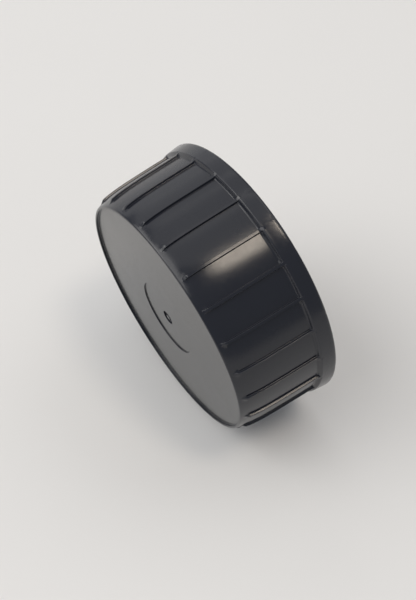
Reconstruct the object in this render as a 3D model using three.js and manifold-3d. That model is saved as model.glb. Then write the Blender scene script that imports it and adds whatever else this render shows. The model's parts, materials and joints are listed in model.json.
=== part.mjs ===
// Screw-on lid of a rock tumbler barrel, lying on its side on its grip ribs and flange.
// Millimetres, +Z up. The closed end faces -Y and the open mouth faces +Y.
//
// Every piece is first drawn about the lid's own axis, which is the local Y axis: "along" is the
// distance from the crest of the lip on the closed end towards the mouth. The finished lid is then
// tipped onto its ribs and set down with the middle of its footprint at the origin.

import * as THREE from "three";
import { mergeVertices } from "three/addons/utils/BufferGeometryUtils.js";
import Module from "manifold-3d";

const wasm = await Module();
wasm.setup();

// Closed end
const LIP_RADIUS = 50;
const LIP_WIDTH = 1.35;
const LIP_HEIGHT = 1;
const LIP_EDGE = 0.6;
const RECESS_RADIUS = 15.8;
const RECESS_DEPTH = 0.45;
const PANEL_THICKNESS = 3.8;

// Side wall and its grip ribs
const WALL_RADIUS = 52.45;
const WALL_DRAFT = 0.037;
const SHOULDER_DROP = 1.9;
const SHOULDER_LENGTH = 5;
const RIB_COUNT = 24;
const RIB_HEIGHT = 0.9;
const RIB_WIDTH = 1.4;
const RIB_START = 2.2;
const RIB_RUN_OUT = 1.3;
const RIB_ROOT = 1.5;
const PANEL_END = 32.8;

// Flange at the open mouth
const HEIGHT = 40.4;
const FLANGE_START = 34.4;
const FLANGE_ROOT_RADIUS = 54.45;
const FLANGE_RADIUS = 55.1;
const RIM_ROUND = 1.15;

// Inside of the shell
const POCKET_RADIUS = 47.9;
const POCKET_DEPTH = 6.2;
const BORE_RADIUS = 49.6;
const MOUTH_RADIUS = 51.8;
const MOUTH_DEPTH = 5.4;
const MOUTH_CHAMFER = 0.4;

// Female screw thread
const THREAD_PITCH = 6;
const THREAD_TURNS = 2.25;
const THREAD_START = 15.2;
const THREAD_RADIUS = 47.7;
const THREAD_ROOT = 50.2;
const THREAD_BASE_WIDTH = 3.6;
const THREAD_CREST_WIDTH = 1.3;

// Inner lid: a stiff pressure disc with a plug wall, and the rubber ring stretched round it
const GAP = 0.3;
const DISC_RADIUS = 47.3;
const DISC_THICKNESS = 2.2;
const PLUG_RADIUS = 38;
const PLUG_WALL = 2.2;
const PLUG_HEIGHT = 5.6;
const PULL_LENGTH = 30;
const PULL_WIDTH = 3;
const PULL_HEIGHT = 7;
const SEAL_RADIUS = 47;
const SEAL_THICKNESS = 3;

// Round pieces are polygons whose flats touch the true circle, with one flat at the very bottom
const FACETS = 48;
const FACET_TURN = (2 * Math.PI) / FACETS;
const FACET_STRETCH = 1 / Math.cos(FACET_TURN / 2);

const FACE = LIP_HEIGHT;
const UNDERSIDE = FACE + PANEL_THICKNESS;
const DISC_BACK = UNDERSIDE + GAP;
const DISC_FRONT = DISC_BACK + DISC_THICKNESS;

function material(color, roughness) {
  return new THREE.MeshStandardMaterial({ color, roughness, metalness: 0 });
}

const BLACK_PLASTIC = material(0x2c2d31, 0.42);
const PALE_PLASTIC = material(0xd9d6cb, 0.5);
const GREY_RUBBER = material(0x4a4a48, 0.8);

// Radius of the rib crests: a straight drafted wall that draws in to a shoulder at the closed end
function crestRadius(along) {
  const shoulder = SHOULDER_DROP * Math.exp(-along / SHOULDER_LENGTH);
  return WALL_RADIUS + WALL_DRAFT * along - shoulder;
}

function range(first, last, steps) {
  return Array.from({ length: steps + 1 }, (_, i) => first + ((last - first) * i) / steps);
}

function toSolid(geometry) {
  const bare = geometry.clone();
  bare.deleteAttribute("normal");
  bare.deleteAttribute("uv");
  const merged = mergeVertices(bare, 1e-5);
  const mesh = new wasm.Mesh({
    numProp: 3,
    vertProperties: new Float32Array(merged.attributes.position.array),
    triVerts: new Uint32Array(merged.index.array),
  });
  return new wasm.Manifold(mesh);
}

function toGeometry(solid) {
  const mesh = solid.getMesh();
  const geometry = new THREE.BufferGeometry();
  geometry.setAttribute("position", new THREE.BufferAttribute(mesh.vertProperties, 3));
  geometry.setIndex(new THREE.BufferAttribute(mesh.triVerts, 1));
  geometry.computeVertexNormals();
  return geometry;
}

function mesh(name, geometry, material) {
  const piece = new THREE.Mesh(geometry, material);
  piece.name = name;
  return piece;
}

// Turns an outline of [radius, along] points about the lid's axis
function turned(outline) {
  const points = outline.map(([radius, along]) => new THREE.Vector2(radius * FACET_STRETCH, along));
  return new THREE.LatheGeometry(points, FACETS, FACET_TURN / 2, 2 * Math.PI);
}

function closedEndOutline() {
  return [
    [0, FACE + RECESS_DEPTH],
    [RECESS_RADIUS, FACE + RECESS_DEPTH],
    [RECESS_RADIUS, FACE],
    [LIP_RADIUS - LIP_WIDTH, FACE],
    [LIP_RADIUS - LIP_WIDTH, 0],
    [LIP_RADIUS - LIP_EDGE, 0],
    [LIP_RADIUS - LIP_EDGE * 0.3, LIP_EDGE * 0.3],
  ];
}

function outerWallOutline() {
  const spread = [0, 0.045, 0.13, 0.28, 0.55, 1];
  const wall = spread.map((share) => {
    const along = LIP_EDGE + (PANEL_END - LIP_EDGE) * share;
    return [crestRadius(along) - RIB_HEIGHT, along];
  });
  const rimMiddle = [FLANGE_RADIUS - RIM_ROUND, HEIGHT - RIM_ROUND];
  const rim = range(0, Math.PI / 2, 3).map((angle) => [
    rimMiddle[0] + RIM_ROUND * Math.cos(angle),
    rimMiddle[1] + RIM_ROUND * Math.sin(angle),
  ]);
  return [...wall, [FLANGE_ROOT_RADIUS, FLANGE_START], ...rim];
}

function insideOutline() {
  const mouthEnd = HEIGHT - MOUTH_DEPTH;
  const pocketEnd = UNDERSIDE + POCKET_DEPTH;
  return [
    [MOUTH_RADIUS + MOUTH_CHAMFER, HEIGHT],
    [MOUTH_RADIUS, HEIGHT - MOUTH_CHAMFER],
    [MOUTH_RADIUS, mouthEnd],
    [BORE_RADIUS, mouthEnd - (MOUTH_RADIUS - BORE_RADIUS)],
    [BORE_RADIUS, pocketEnd + (BORE_RADIUS - POCKET_RADIUS)],
    [POCKET_RADIUS, pocketEnd],
    [POCKET_RADIUS, UNDERSIDE],
    [0, UNDERSIDE],
  ];
}

// One straight-sided grip rib, rooted in the wall, with both ends sloping down into it
function ribGeometry() {
  const last = FLANGE_START - GAP;
  const crest = [...range(RIB_START, PANEL_END, 4), last].map((along) => [
    along < PANEL_END ? crestRadius(along) : crestRadius(PANEL_END) + (along - PANEL_END) * 0.2,
    along,
  ]);
  const first = RIB_START - RIB_RUN_OUT;
  const side = new THREE.Shape(
    [
      [crestRadius(first) - RIB_HEIGHT - RIB_ROOT, first],
      [crestRadius(first) - RIB_HEIGHT - 0.05, first],
      ...crest,
      [crestRadius(last) - RIB_HEIGHT - RIB_ROOT, last],
    ].map(([radius, along]) => new THREE.Vector2(radius, along)),
  );
  const rib = new THREE.ExtrudeGeometry(side, { depth: RIB_WIDTH, bevelEnabled: false });
  return rib.translate(0, 0, -RIB_WIDTH / 2);
}

function ribs() {
  const turn = (2 * Math.PI) / RIB_COUNT;
  return Array.from({ length: RIB_COUNT }, (_, i) =>
    toSolid(ribGeometry().rotateY(turn * (i + 0.5))),
  );
}

// A straight bar of thread section, wound into a helix inside the bore, fading out at both ends.
// The section is turned over along the axis, which keeps the wound bar's faces pointing out.
function thread() {
  const steps = Math.round(FACETS * THREAD_TURNS);
  const length = THREAD_TURNS * 2 * Math.PI;
  const section = new THREE.Shape([
    new THREE.Vector2(THREAD_RADIUS, -THREAD_CREST_WIDTH / 2),
    new THREE.Vector2(THREAD_ROOT, -THREAD_BASE_WIDTH / 2),
    new THREE.Vector2(THREAD_ROOT, THREAD_BASE_WIDTH / 2),
    new THREE.Vector2(THREAD_RADIUS, THREAD_CREST_WIDTH / 2),
  ]);
  const bar = new THREE.ExtrudeGeometry(section, { depth: length, steps, bevelEnabled: false });
  const place = bar.attributes.position;
  for (let i = 0; i < place.count; i += 1) {
    const turn = place.getZ(i);
    const angle = turn + FACET_TURN / 2;
    const fade = Math.min(1, Math.min(turn, length - turn) / 0.5 + 0.15);
    const radius = (THREAD_ROOT - (THREAD_ROOT - place.getX(i)) * fade) * FACET_STRETCH;
    const along = THREAD_START - place.getY(i) + (THREAD_PITCH * turn) / (2 * Math.PI);
    place.setXYZ(i, radius * Math.sin(angle), along, radius * Math.cos(angle));
  }
  return toSolid(bar);
}

function lidShell() {
  const outline = [...closedEndOutline(), ...outerWallOutline(), ...insideOutline()];
  const solid = [...ribs(), thread()].reduce((all, piece) => all.add(piece), toSolid(turned(outline)));
  return mesh("lid_shell", toGeometry(solid), BLACK_PLASTIC);
}

function pressureDisc() {
  const plate = turned([
    [0, DISC_BACK],
    [DISC_RADIUS, DISC_BACK],
    [DISC_RADIUS, DISC_FRONT],
    [PLUG_RADIUS, DISC_FRONT],
    [PLUG_RADIUS, DISC_FRONT + PLUG_HEIGHT - PLUG_WALL / 4],
    [PLUG_RADIUS - PLUG_WALL / 4, DISC_FRONT + PLUG_HEIGHT],
    [PLUG_RADIUS - PLUG_WALL, DISC_FRONT + PLUG_HEIGHT],
    [PLUG_RADIUS - PLUG_WALL, DISC_FRONT],
    [0, DISC_FRONT],
  ]);
  const pull = new THREE.Shape();
  pull.moveTo(-PULL_LENGTH / 2, DISC_FRONT - 1);
  pull.lineTo(PULL_LENGTH / 2, DISC_FRONT - 1);
  pull.quadraticCurveTo(PULL_LENGTH / 3, DISC_FRONT + PULL_HEIGHT, 0, DISC_FRONT + PULL_HEIGHT);
  pull.quadraticCurveTo(-PULL_LENGTH / 3, DISC_FRONT + PULL_HEIGHT, -PULL_LENGTH / 2, DISC_FRONT - 1);
  const settings = { depth: PULL_WIDTH, bevelEnabled: false, curveSegments: 6 };
  const bar = new THREE.ExtrudeGeometry(pull, settings).translate(0, 0, -PULL_WIDTH / 2);
  const solid = toSolid(plate).add(toSolid(bar));
  return mesh("pressure_disc", toGeometry(solid), PALE_PLASTIC);
}

function sealRing() {
  const back = DISC_FRONT + GAP;
  const inner = PLUG_RADIUS + GAP;
  const edge = 0.4;
  const ring = turned([
    [inner, back],
    [SEAL_RADIUS - edge, back],
    [SEAL_RADIUS, back + edge],
    [SEAL_RADIUS, back + SEAL_THICKNESS - edge],
    [SEAL_RADIUS - edge, back + SEAL_THICKNESS],
    [inner, back + SEAL_THICKNESS],
    [inner, back],
  ]);
  return mesh("seal_ring", ring, GREY_RUBBER);
}

// The lid lies on the bottom of its flange and on the two lowest ribs, so its axis dips a little
// towards the closed end, by the first angle at which the ribs touch down
function restTilt() {
  const half = Math.PI / RIB_COUNT;
  const flangeAlong = HEIGHT - RIM_ROUND;
  const angles = range(RIB_START, PANEL_END / 2, 40).map((along) => {
    const reach = crestRadius(along) * Math.cos(half) + (RIB_WIDTH / 2) * Math.sin(half);
    return Math.atan((FLANGE_RADIUS - reach) / (flangeAlong - along));
  });
  return Math.min(...angles);
}

const lid = new THREE.Group();
lid.add(lidShell(), pressureDisc(), sealRing());
lid.rotation.x = restTilt();
lid.updateMatrixWorld(true);

const box = new THREE.Box3().setFromObject(lid, true);
const middle = box.getCenter(new THREE.Vector3());
lid.position.set(-middle.x, -middle.y, -box.min.z);

const part = new THREE.Group();
part.add(lid);

export default part;
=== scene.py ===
"""Looks of a rock tumbler barrel's screw lid, lying on its side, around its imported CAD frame.

Lengths are millimetres unless a name or a comment says otherwise. Pieces are drawn about the lid's own
axis, where "along" is the distance from the crest of the lip on the closed end towards the mouth,
and is then put in the frame by the lid's placement, which comes from the record.
"""

import json
import math
import random

import bmesh
import bpy
from mathutils import Matrix, Vector


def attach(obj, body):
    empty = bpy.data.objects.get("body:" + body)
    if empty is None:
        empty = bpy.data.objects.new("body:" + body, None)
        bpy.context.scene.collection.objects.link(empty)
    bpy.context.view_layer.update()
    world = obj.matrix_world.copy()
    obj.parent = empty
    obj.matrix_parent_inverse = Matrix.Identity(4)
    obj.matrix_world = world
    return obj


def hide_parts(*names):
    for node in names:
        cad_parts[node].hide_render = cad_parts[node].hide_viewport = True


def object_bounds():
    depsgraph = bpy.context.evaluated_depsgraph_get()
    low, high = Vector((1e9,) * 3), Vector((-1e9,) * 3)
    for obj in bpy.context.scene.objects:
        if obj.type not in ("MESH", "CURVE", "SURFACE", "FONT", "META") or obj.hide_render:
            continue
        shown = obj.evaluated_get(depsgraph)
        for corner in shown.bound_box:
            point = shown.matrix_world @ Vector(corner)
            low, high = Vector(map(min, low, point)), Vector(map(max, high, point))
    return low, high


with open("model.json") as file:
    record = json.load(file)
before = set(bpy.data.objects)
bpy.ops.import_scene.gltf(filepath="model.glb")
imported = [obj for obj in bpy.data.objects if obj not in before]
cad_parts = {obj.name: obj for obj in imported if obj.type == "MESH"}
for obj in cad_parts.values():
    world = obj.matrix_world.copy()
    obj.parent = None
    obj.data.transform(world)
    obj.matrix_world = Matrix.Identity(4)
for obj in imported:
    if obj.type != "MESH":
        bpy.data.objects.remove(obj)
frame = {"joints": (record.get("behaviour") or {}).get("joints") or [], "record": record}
CAD_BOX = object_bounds()

MM = 0.001

# Distance of the rows that hold a rounded corner's edge, as a share of its rounding
CORNER_GUARD = 0.4

# Closed end
LIP_HEIGHT = 1
LIP_INNER_RADIUS = 48.65
RECESS_RADIUS = 15.8
RECESS_DEPTH = 0.45
DIMPLE_RADIUS = 2.9
DIMPLE_DEPTH = 0.9
NUB_RADIUS = 1.1
NUB_HEIGHT = 0.75
PANEL_THICKNESS = 3.8

# Radii within which the closed end's rings have few, and then a moderate number of, points
DIMPLE_RINGS_END = 5
EVEN_RINGS_END = LIP_INNER_RADIUS - 3

# Side wall and its grip ribs
WALL_RADIUS = 52.45
WALL_DRAFT = 0.037
SHOULDER_DROP = 1.9
SHOULDER_LENGTH = 5
RIB_COUNT = 24
RIB_HEIGHT = 0.9
RIB_CREST_HALF = 0.5
RIB_FOOT_HALF = 0.78
RIB_FIRST = 0.9
RIB_FULL = 3.6

# Flange at the open mouth, and the scoop by which each panel rises to it
HEIGHT = 40.4
SCOOP_START = 32.5
SCOOP_END = 34.5
FLANGE_ROOT_RADIUS = 54.45
FLANGE_RADIUS = 55.1
RIM_ROUND = 1.15
FLANGE_BULGE = 0.04
NICK_COUNT = 22
NICK_DEPTH = 0.16
NICK_HALF = 1.1

# Width past the scoop that stays free of nicks
NICK_FREE = 2

# Inside of the shell
POCKET_RADIUS = 47.9
POCKET_DEPTH = 6.2
BORE_RADIUS = 49.6
MOUTH_RADIUS = 51.8
MOUTH_DEPTH = 5.4

# Female screw thread
THREAD_PITCH = 6
THREAD_TURNS = 2.25
THREAD_START = 15.2
THREAD_RADIUS = 47.7
THREAD_ROOT = 50.2
THREAD_BASE_WIDTH = 3.6
THREAD_CREST_WIDTH = 1.3

# Radians over which the thread fades in and out, and the share of its height it starts from
THREAD_FADE_TURN = 0.6
THREAD_FADE_LEAST = 0.12

# Inner lid
GAP = 0.3
DISC_RADIUS = 47.3
DISC_THICKNESS = 2.2
PLUG_RADIUS = 38
PLUG_WALL = 2.2
PLUG_HEIGHT = 5.6
PULL_LENGTH = 30
PULL_WIDTH = 3
PULL_HEIGHT = 7
PULL_SUNK = 1
TURNED_STEPS = 192
SEAL_RADIUS = 47
SEAL_THICKNESS = 3
BEAD_RADII = (41.2, 43.6)
BEAD_GROOVE = 0.35

FACE = LIP_HEIGHT
UNDERSIDE = FACE + PANEL_THICKNESS
DISC_BACK = UNDERSIDE + GAP
DISC_FRONT = DISC_BACK + DISC_THICKNESS

# Camera, round the middle of the CAD box
CAMERA_AZIMUTH = 55.8
CAMERA_ELEVATION = 52.47
CAMERA_ROLL = -0.54
CAMERA_DISTANCE = 390
CAMERA_DROP = 4.07
CAMERA_LENS = 60

# Light, in metres: how far the lamps stand from the middle of the floor
LIGHT_DISTANCE = 5
PALE = (1, 0.98, 0.95)
WARM = (1, 0.88, 0.74)
ROOM_COLOUR = (0.9, 0.93, 1, 1)
ROOM_STRENGTH = 0.33
FLOOR_RADIUS_METRES = 12


# ---------------------------------------------------------------- outlines

def span(first, last, steps):
    return [first + (last - first) * i / steps for i in range(steps + 1)]


def ease(share):
    """Smooth step from 0 to 1 that leaves and arrives level."""
    share = min(1, max(0, share))
    return share * share * share * (share * (6 * share - 15) + 10)


def rounded(corners, steps=4):
    """Outline of (radius, along) points, with each corner's third number as its rounding."""
    points = []
    for i, corner in enumerate(corners):
        here = Vector(corner[:2])
        size = corner[2] if len(corner) > 2 else 0
        if not size:
            points.append(tuple(here))
            continue
        back = (Vector(corners[i - 1][:2]) - here).normalized()
        ahead = (Vector(corners[(i + 1) % len(corners)][:2]) - here).normalized()
        half = back.angle(ahead) / 2
        reach = size / math.tan(half)
        centre = here + (back + ahead).normalized() * size / math.sin(half)
        first, last = here + back * reach - centre, here + ahead * reach - centre
        turn = first.angle_signed(last)
        points.append(tuple(here + back * (reach + size * CORNER_GUARD)))
        for share in span(0, 1, steps):
            points.append(tuple(centre + Matrix.Rotation(-turn * share, 2) @ first))
        points.append(tuple(here + ahead * (reach + size * CORNER_GUARD)))
    return points


def crest_radius(along):
    """Radius of the rib crests: a drafted wall that draws in to a shoulder at the closed end."""
    shoulder = SHOULDER_DROP * math.exp(-along / SHOULDER_LENGTH)
    return WALL_RADIUS + WALL_DRAFT * along - shoulder


def panel_radius(along):
    return crest_radius(along) - RIB_HEIGHT


def closed_end_outline():
    floor = FACE + RECESS_DEPTH
    return rounded(
        [
            (NUB_RADIUS * 0.5, floor + DIMPLE_DEPTH - NUB_HEIGHT),
            (NUB_RADIUS, floor + DIMPLE_DEPTH - NUB_HEIGHT, 0.15),
            (NUB_RADIUS, floor + DIMPLE_DEPTH, 0.15),
            (DIMPLE_RADIUS, floor + DIMPLE_DEPTH, 0.3),
            (DIMPLE_RADIUS, floor, 0.12),
            (RECESS_RADIUS, floor, 0.08),
            (RECESS_RADIUS, FACE, 0.08),
            (LIP_INNER_RADIUS, FACE, 0.2),
            (LIP_INNER_RADIUS, 0, 0.25),
            (panel_radius(0), 0, 0.7),
            (panel_radius(RIB_FIRST), RIB_FIRST),
        ]
    )[:-1]


def wall_rows():
    """Rows of the ribbed wall and the flange: a panel point and the crest point that it rises to."""
    rows = []
    near = span(RIB_FIRST, RIB_FULL, 9)
    for along in [*near, 4.5, 5.5, 7.5, 10, 13, 17, 21, 25, 28, 30.5, 31.8, SCOOP_START]:
        rise = RIB_HEIGHT * ease((along - RIB_FIRST) / (RIB_FULL - RIB_FIRST))
        rows.append((panel_radius(along), along, panel_radius(along) + rise, along))
    floor, crest = panel_radius(SCOOP_START), crest_radius(SCOOP_START)
    for share in span(0, 1, 14)[1:]:
        along = SCOOP_START + (SCOOP_END - SCOOP_START) * share
        panel = floor + (FLANGE_ROOT_RADIUS - floor) * ease(share**1.25)
        rows.append((panel, along, crest + (FLANGE_ROOT_RADIUS - crest) * share**1.6, along))
    return rows


def flange_outline():
    last = HEIGHT - RIM_ROUND
    first = SCOOP_END
    surface = []
    for share in span(0, 1, 6)[1:]:
        bulge = FLANGE_BULGE * math.sin(math.pi * share)
        radius = FLANGE_ROOT_RADIUS + (FLANGE_RADIUS - FLANGE_ROOT_RADIUS) * share + bulge
        surface.append((min(radius, FLANGE_RADIUS), first + (last - first) * share))
    rim = [
        (FLANGE_RADIUS - RIM_ROUND * (1 - math.cos(q)), last + RIM_ROUND * math.sin(q))
        for q in span(0, math.pi / 2, 6)[1:]
    ]
    return [*surface, *rim, (FLANGE_RADIUS - RIM_ROUND - 0.2, HEIGHT)]


def nicks():
    """Angles and depths of the small knocks that use has left round the flange's edge."""
    chance = random.Random(4)
    pitch = 2 * math.pi / NICK_COUNT
    return [
        (pitch * (i + chance.uniform(-0.4, 0.4)), NICK_DEPTH * chance.uniform(0.3, 1))
        for i in range(NICK_COUNT)
    ]


def worn(radius, along, angle, places):
    """Flange radius less any nick there; nicks are deepest near the rim."""
    low = SCOOP_END + NICK_FREE
    share = ease((along - low) / (HEIGHT - RIM_ROUND - low))
    for place, depth in places:
        apart = abs(math.remainder(angle - place, 2 * math.pi)) * FLANGE_RADIUS
        if apart < NICK_HALF:
            return radius - depth * share * (1 - ease(apart / NICK_HALF))
    return radius


def inside_outline():
    mouth_end = HEIGHT - MOUTH_DEPTH
    pocket_end = UNDERSIDE + POCKET_DEPTH
    return rounded(
        [
            (MOUTH_RADIUS + 1.2, HEIGHT),
            (MOUTH_RADIUS, HEIGHT, 0.4),
            (MOUTH_RADIUS, mouth_end, 0.6),
            (BORE_RADIUS, mouth_end - (MOUTH_RADIUS - BORE_RADIUS), 0.6),
            (BORE_RADIUS, pocket_end + (BORE_RADIUS - POCKET_RADIUS), 0.8),
            (POCKET_RADIUS, pocket_end, 0.8),
            (POCKET_RADIUS, UNDERSIDE, 0.5),
            (POCKET_RADIUS / 2, UNDERSIDE),
        ]
    )


# ---------------------------------------------------------------- mesh building

def columns():
    """Angles round the wall, close together across each rib, with how far up the rib each is."""
    pitch = 2 * math.pi / RIB_COUNT
    half_pitch = pitch * WALL_RADIUS / 2
    shares = (0, 0.2, 0.35, 0.5, 0.65, 0.8, 1)
    flank = [RIB_CREST_HALF + (RIB_FOOT_HALF - RIB_CREST_HALF) * share for share in shares]
    half = [0, RIB_CREST_HALF / 2, *flank, *span(RIB_FOOT_HALF, half_pitch, 4)[1:]]
    across = [-x for x in half[:0:-1]] + half[:-1]
    placed = []
    for rib in range(RIB_COUNT):
        for offset in across:
            share = 1 - ease((abs(offset) - RIB_CREST_HALF) / (RIB_FOOT_HALF - RIB_CREST_HALF))
            placed.append((pitch * (rib + 0.5) + offset / WALL_RADIUS, share))
    return placed


def even_angles(count):
    return [2 * math.pi * i / count for i in range(count)]


def add_ring(bm, points):
    """Points are (radius, along, angle)."""
    return [
        bm.verts.new((r * math.cos(q) * MM, a * MM, r * math.sin(q) * MM)) for r, a, q in points
    ]


def plain_ring(bm, radius, along, angles):
    return add_ring(bm, [(radius, along, q) for q in angles])


def bridge(bm, one, two):
    """Faces between two rings, where the finer has a whole number of times the other's points."""
    fine, coarse = (one, two) if len(one) >= len(two) else (two, one)
    times = len(fine) // len(coarse)
    for i, corner in enumerate(coarse):
        after = coarse[(i + 1) % len(coarse)]
        run = [fine[(i * times + k) % len(fine)] for k in range(times + 1)]
        middle = times // 2
        for k in range(times):
            if k == middle:
                bm.faces.new((run[k], run[k + 1], after, corner))
            else:
                bm.faces.new((run[k], run[k + 1], corner if k < middle else after))


def bridge_all(bm, rings):
    for one, two in zip(rings, rings[1:]):
        bridge(bm, one, two)


def finish_piece(bm, name, sharp_degrees=40):
    bmesh.ops.recalc_face_normals(bm, faces=bm.faces)
    data = bpy.data.meshes.new(name)
    bm.to_mesh(data)
    bm.free()
    data.shade_smooth()
    data.set_sharp_from_angle(angle=math.radians(sharp_degrees))
    piece = bpy.data.objects.new(name, data)
    bpy.context.scene.collection.objects.link(piece)
    return piece


def turned_piece(name, outline, count):
    """Solid turned from an outline whose ends are on the axis, or from a closed one."""
    bm = bmesh.new()
    angles = even_angles(count)
    rings = [
        plain_ring(bm, r, a, angles) if r else [bm.verts.new((0, a * MM, 0))] for r, a in outline
    ]
    closed = len(rings[0]) > 1
    pairs = list(zip(rings, rings[1:]))
    if closed:
        pairs.append((rings[-1], rings[0]))
    for one, two in pairs:
        if len(one) == 1 or len(two) == 1:
            pole, ring = (one[0], two) if len(one) == 1 else (two[0], one)
            for i, corner in enumerate(ring):
                bm.faces.new((pole, corner, ring[(i + 1) % len(ring)]))
        else:
            bridge(bm, one, two)
    return finish_piece(bm, name)


def fuse(piece, *others):
    """Joins other closed pieces to a piece, as one closed mesh."""
    for other in others:
        joint = piece.modifiers.new("fuse", "BOOLEAN")
        joint.operation = "UNION"
        joint.solver = "MANIFOLD"
        joint.object = other
    bpy.context.view_layer.update()
    made = bpy.data.meshes.new_from_object(
        piece.evaluated_get(bpy.context.evaluated_depsgraph_get())
    )
    piece.modifiers.clear()
    piece.data = made
    for other in others:
        bpy.data.objects.remove(other)
    made.shade_smooth()
    made.set_sharp_from_angle(angle=math.radians(40))
    return piece


# ---------------------------------------------------------------- pieces

def shell_body():
    """The lid without its thread: closed end, ribbed wall, flange and inside, as one closed mesh."""
    bm = bmesh.new()
    placed = columns()
    ribbed = [q for q, _ in placed]
    even = even_angles(len(placed) // 3)
    small = even_angles(len(placed) // 12)
    end = closed_end_outline()
    rings = []
    for radius, along in end:
        angles = small if radius < DIMPLE_RINGS_END else even if radius < EVEN_RINGS_END else ribbed
        rings.append(plain_ring(bm, radius, along, angles))
    for panel_r, panel_a, crest_r, crest_a in wall_rows():
        rings.append(
            add_ring(
                bm,
                [
                    (panel_r + (crest_r - panel_r) * s, panel_a + (crest_a - panel_a) * s, q)
                    for q, s in placed
                ],
            )
        )
    knocks = nicks()
    for radius, along in flange_outline():
        rings.append(add_ring(bm, [(worn(radius, along, q, knocks), along, q) for q in ribbed]))
    rings += [plain_ring(bm, r, a, even) for r, a in inside_outline()]
    bridge_all(bm, rings)
    nub_top = FACE + RECESS_DEPTH + DIMPLE_DEPTH - NUB_HEIGHT
    for ring, along in ((rings[0], nub_top), (rings[-1], UNDERSIDE)):
        pole = bm.verts.new((0, along * MM, 0))
        for i, corner in enumerate(ring):
            bm.faces.new((pole, corner, ring[(i + 1) % len(ring)]))
    return finish_piece(bm, "screw_lid")


def thread():
    """The raised helix in the bore, with rounded crests, fading into the wall at both ends."""
    bm = bmesh.new()
    crest, base = THREAD_CREST_WIDTH / 2, THREAD_BASE_WIDTH / 2
    section = rounded(
        [
            (THREAD_ROOT, -base),
            (THREAD_RADIUS, -crest, 0.35),
            (THREAD_RADIUS, crest, 0.35),
            (THREAD_ROOT, base),
        ]
    )
    length = THREAD_TURNS * 2 * math.pi
    loops = []
    for turn in span(0, length, round(TURNED_STEPS * THREAD_TURNS)):
        fade = ease(min(turn, length - turn) / THREAD_FADE_TURN + THREAD_FADE_LEAST)
        along = THREAD_START + THREAD_PITCH * turn / (2 * math.pi)
        loops.append(
            add_ring(
                bm,
                [
                    (THREAD_ROOT - (THREAD_ROOT - r) * fade, along + a, math.pi / 2 - turn)
                    for r, a in section
                ],
            )
        )
    bridge_all(bm, loops)
    bm.faces.new(loops[0])
    bm.faces.new(loops[-1])
    return finish_piece(bm, "thread")


def pressure_disc():
    wall_end = DISC_FRONT + PLUG_HEIGHT
    inner = PLUG_RADIUS - PLUG_WALL
    plate = turned_piece(
        "inner_disc",
        [
            (0, DISC_BACK),
            *rounded(
                [
                    (DISC_RADIUS / 2, DISC_BACK),
                    (DISC_RADIUS, DISC_BACK, 0.5),
                    (DISC_RADIUS, DISC_FRONT, 0.5),
                    (PLUG_RADIUS, DISC_FRONT, 0.2),
                    (PLUG_RADIUS, wall_end, 0.6),
                    (inner, wall_end, 0.6),
                    (inner, DISC_FRONT, 0.9),
                    (inner / 2, DISC_FRONT),
                ]
            ),
            (0, DISC_FRONT),
        ],
        TURNED_STEPS,
    )
    return fuse(plate, pull_bar())


def pull_bar():
    """Low arched bar across the middle of the disc, rounded along its top edge."""
    bm = bmesh.new()
    loops = []
    half = PULL_LENGTH / 2
    width = PULL_WIDTH / 2
    sunk = DISC_FRONT - PULL_SUNK
    for place in span(-1, 1, 48):
        top = DISC_FRONT + PULL_HEIGHT * (1 - abs(place) ** 2.6)
        side = min(0.9, max(0.05, (top - DISC_FRONT) * 0.6))
        section = rounded(
            [(-width, sunk), (-width, top, side), (width, top, side), (width, sunk)]
        )
        loops.append([bm.verts.new((place * half * MM, a * MM, x * MM)) for x, a in section])
    bridge_all(bm, loops)
    bm.faces.new(loops[0])
    bm.faces.new(loops[-1])
    return finish_piece(bm, "pull_bar")


def seal_ring():
    back = DISC_FRONT + GAP
    front = back + SEAL_THICKNESS
    inner = PLUG_RADIUS + GAP
    beads = []
    for middle in BEAD_RADII:
        beads += [(middle - 0.6, front, 0.15), (middle - 0.3, front - BEAD_GROOVE, 0.15)]
        beads += [(middle + 0.3, front - BEAD_GROOVE, 0.15), (middle + 0.6, front, 0.15)]
    outline = [
        (inner, back, 0.3),
        (SEAL_RADIUS, back, 0.7),
        (SEAL_RADIUS, front, 0.9),
        *beads[::-1],
        (inner, front, 0.3),
    ]
    return turned_piece("rubber_seal", rounded(outline), TURNED_STEPS)


# ---------------------------------------------------------------- materials

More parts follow.
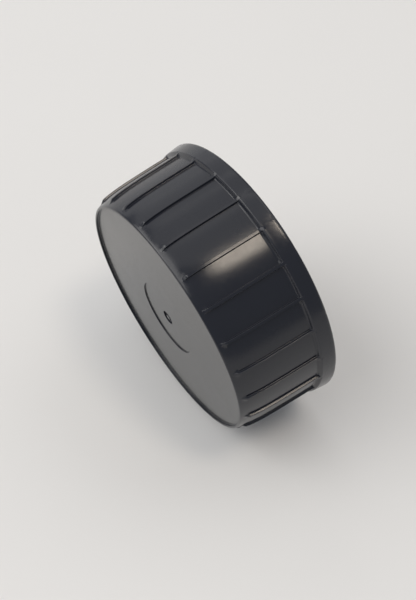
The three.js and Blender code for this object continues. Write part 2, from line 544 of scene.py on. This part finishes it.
class Nodes:
    """Short way to lay out one material's node tree."""

    def __init__(self, name):
        self.material = bpy.data.materials.new(name)
        self.material.use_nodes = True
        self.tree = self.material.node_tree
        self.shader = self.tree.nodes["Principled BSDF"]

    def add(self, kind, inputs=None, **settings):
        node = self.tree.nodes.new(kind)
        for key, value in settings.items():
            setattr(node, key, value)
        for key, value in (inputs or {}).items():
            if isinstance(value, bpy.types.NodeSocket):
                self.tree.links.new(value, node.inputs[key])
            else:
                node.inputs[key].default_value = value
        return node

    def set(self, **values):
        for key, value in values.items():
            socket = self.shader.inputs[key.replace("_", " ")]
            if isinstance(value, bpy.types.NodeSocket):
                self.tree.links.new(value, socket)
            else:
                socket.default_value = value

    def place(self):
        return self.add("ShaderNodeTexCoord").outputs["Object"]

    def noise(self, per_metre, detail=3, roughness=0.5):
        node = self.add(
            "ShaderNodeTexNoise",
            {"Vector": self.place(), "Scale": per_metre, "Detail": detail, "Roughness": roughness},
        )
        return node.outputs["Fac"]

    def ramp(self, value, low, high, first, last):
        """Maps value, from low to high, onto first to last."""
        return self.add(
            "ShaderNodeMapRange",
            {"Value": value, "From Min": low, "From Max": high, "To Min": first, "To Max": last},
        ).outputs["Result"]

    def maths(self, operation, one, two):
        return self.add("ShaderNodeMath", {0: one, 1: two}, operation=operation).outputs[0]

    def blend(self, share, one, two):
        node = self.add("ShaderNodeMix", {"Factor": share}, data_type="RGBA")
        for socket, value in ((node.inputs[6], one), (node.inputs[7], two)):
            if isinstance(value, bpy.types.NodeSocket):
                self.tree.links.new(value, socket)
            else:
                socket.default_value = (*value, 1)
        return node.outputs[2]

    def bump(self, height, strength, metres, under=None):
        inputs = {"Height": height, "Strength": strength, "Distance": metres}
        if under is not None:
            inputs["Normal"] = under
        return self.add("ShaderNodeBump", inputs).outputs["Normal"]

    def facing(self, direction):
        """1 where the surface faces the given way at rest, falling to 0 a few degrees off it."""
        normal = self.add("ShaderNodeTexCoord").outputs["Normal"]
        along = self.add("ShaderNodeVectorMath", {0: normal, 1: direction}, operation="DOT_PRODUCT")
        return self.ramp(along.outputs["Value"], 0.97, 0.995, 0, 1)

    def edges(self, low, high):
        """0 on flat places to 1 on outward edges."""
        return self.ramp(self.add("ShaderNodeNewGeometry").outputs["Pointiness"], low, high, 0, 1)


def black_plastic():
    """Glossy moulded side wall; the closed end is given a paler colour, a painted reflection of the
    pale floor that it mirrors.
    """
    nodes = Nodes("black_polypropylene")
    cloud = nodes.noise(45, 4)
    fine = nodes.noise(700, 3)
    grain = nodes.noise(5200, 2)
    wear = nodes.maths("MULTIPLY", nodes.edges(0.53, 0.6), nodes.ramp(fine, 0.35, 0.65, 0.2, 1))
    axis = Vector(frame["joints"][0]["axis"]).normalized()
    # Painted reflection: the closed face, picked by the way it faces at rest, gets a paler grey that
    # stands for the pale floor it mirrors
    painted_face_reflection = nodes.maths("MULTIPLY", nodes.facing(-axis), nodes.ramp(cloud, 0.3, 0.7, 0.75, 1))
    plain = nodes.blend(cloud, (0.0095, 0.0112, 0.018), (0.0135, 0.0152, 0.022))
    colour_with_painted_reflection = nodes.blend(painted_face_reflection, plain, (0.06, 0.06, 0.059))
    broad, small = nodes.ramp(cloud, 0.3, 0.7, 0.16, 0.21), nodes.ramp(fine, 0.3, 0.7, -0.02, 0.03)
    gloss = nodes.maths("ADD", broad, small)
    nodes.set(
        Base_Color=nodes.blend(nodes.maths("MULTIPLY", wear, 0.5), colour_with_painted_reflection, (0.055, 0.055, 0.055)),
        Roughness=gloss,
        IOR=1.5,
        Normal=nodes.bump(grain, 0.25, 0.00002, nodes.bump(nodes.noise(160, 2), 0.25, 0.00008)),
    )
    return nodes.material


def pale_plastic():
    nodes = Nodes("natural_polyethylene")
    cloud = nodes.noise(60, 4)
    grain = nodes.noise(3200, 2)
    wear = nodes.edges(0.505, 0.56)
    plain = nodes.blend(cloud, (0.66, 0.63, 0.54), (0.73, 0.70, 0.62))
    nodes.set(
        Base_Color=nodes.blend(nodes.maths("MULTIPLY", wear, 0.4), plain, (0.8, 0.78, 0.72)),
        Roughness=nodes.ramp(cloud, 0.3, 0.7, 0.4, 0.52),
        IOR=1.51,
        Normal=nodes.bump(grain, 0.2, 0.00002, nodes.bump(nodes.noise(120, 2), 0.2, 0.00008)),
    )
    nodes.set(Subsurface_Weight=0.12, Subsurface_Scale=0.002)
    return nodes.material


def rubber():
    nodes = Nodes("grey_rubber")
    cloud = nodes.noise(80, 4)
    grain = nodes.noise(2600, 3)
    nodes.set(
        Base_Color=nodes.blend(cloud, (0.035, 0.035, 0.034), (0.06, 0.06, 0.058)),
        Roughness=nodes.ramp(cloud, 0.3, 0.7, 0.68, 0.85),
        Normal=nodes.bump(grain, 0.35, 0.00003),
    )
    return nodes.material


def floor_paper():
    nodes = Nodes("pale_paper")
    cloud = nodes.noise(6, 3)
    grain = nodes.noise(900, 2)
    nodes.set(
        Base_Color=nodes.blend(cloud, (0.745, 0.74, 0.728), (0.765, 0.76, 0.75)),
        Roughness=0.75,
        Normal=nodes.bump(grain, 0.1, 0.00005),
    )
    return nodes.material


# ---------------------------------------------------------------- placing

def lid_placement():
    """Matrix from the lid's own axes to the row frame, read from the record."""
    record = frame["record"]
    axis = Vector(frame["joints"][0]["axis"]).normalized()
    face = next(m for m in record["mounts"] if m["name"] == "closed_face")
    origin = Vector(face["pos_m"]) - axis * (FACE + RECESS_DEPTH) * MM
    across = Vector((1, 0, 0))
    turn = Matrix((across, axis, across.cross(axis))).transposed()
    return Matrix.Translation(origin) @ turn.to_4x4()


def place(piece, placement, body, slot, material, *nodes):
    piece.data.transform(placement)
    piece.data.materials.clear()
    piece.data.materials.append(material)
    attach(piece, body)
    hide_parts(*nodes)


def make_camera():
    low, high = CAD_BOX
    turn, lift = math.radians(CAMERA_AZIMUTH), math.radians(CAMERA_ELEVATION)
    back = Vector(
        (math.sin(turn) * math.cos(lift), -math.cos(turn) * math.cos(lift), math.sin(lift))
    )
    level = Vector((math.cos(turn), math.sin(turn), 0))
    right = Matrix.Rotation(math.radians(CAMERA_ROLL), 3, back) @ level
    up = back.cross(right)
    data = bpy.data.cameras.new("camera")
    data.sensor_width = 36
    data.lens = CAMERA_LENS
    data.clip_start = 0.01
    camera = bpy.data.objects.new("camera", data)
    bpy.context.scene.collection.objects.link(camera)
    away = back * CAMERA_DISTANCE * MM - up * CAMERA_DROP * MM
    camera.matrix_world = Matrix.Translation((low + high) / 2 + away) @ Matrix(
        (right, up, back)
    ).transposed().to_4x4()
    bpy.context.scene.camera = camera


def make_floor():
    bm = bmesh.new()
    bmesh.ops.create_circle(bm, cap_ends=True, radius=FLOOR_RADIUS_METRES, segments=96)
    floor = finish_piece(bm, "floor")
    floor.data.materials.append(floor_paper())


def softbox(name, azimuth, elevation, width, height, power, colour):
    """Flat lamp, its sizes in metres, that faces the middle of the floor from LIGHT_DISTANCE away."""
    data = bpy.data.lights.new(name, "AREA")
    data.shape = "ELLIPSE"
    data.size, data.size_y = width, height
    data.energy = power
    data.color = colour
    light = bpy.data.objects.new(name, data)
    bpy.context.scene.collection.objects.link(light)
    turn, lift = math.radians(azimuth), math.radians(elevation)
    back = Vector(
        (math.sin(turn) * math.cos(lift), -math.cos(turn) * math.cos(lift), math.sin(lift))
    )
    light.location = back * LIGHT_DISTANCE
    light.rotation_mode = "QUATERNION"
    light.rotation_quaternion = back.to_track_quat("Z", "Y")


def make_light():
    """A pale wall behind and over the lid, a window on its left, a side wall and a warm lamp."""
    for elevation in (12, 38, 62, 84):
        softbox(f"back_wall_{elevation}", 260, elevation, 4.5, 2.5, 15, PALE)
    softbox("window_high", 350, 54, 4.5, 2.6, 66, PALE)
    softbox("window_low", 320, 35, 4.5, 2.6, 66, PALE)
    softbox("window_sill", 350, 18, 3.5, 1.8, 20, PALE)
    softbox("side_wall", 180, 56, 4.0, 2.6, 30, PALE)
    softbox("lamp", 116, 71, 0.9, 1.4, 34, WARM)
    world = bpy.data.worlds.new("room")
    world.use_nodes = True
    room = world.node_tree.nodes["Background"]
    room.inputs["Color"].default_value = ROOM_COLOUR
    room.inputs["Strength"].default_value = ROOM_STRENGTH
    bpy.context.scene.world = world
    view = bpy.context.scene.view_settings
    view.view_transform = "Standard"
    view.look = "None"


def build():
    placement = lid_placement()
    black, pale, grey = black_plastic(), pale_plastic(), rubber()
    lid = fuse(shell_body(), thread())
    place(lid, placement, "lid", "black_plastic", black, "lid_shell")
    place(pressure_disc(), placement, "inner_lid", "pale_plastic", pale, "pressure_disc")
    place(seal_ring(), placement, "inner_lid", "rubber", grey, "seal_ring")


build()
make_floor()
make_light()
make_camera()
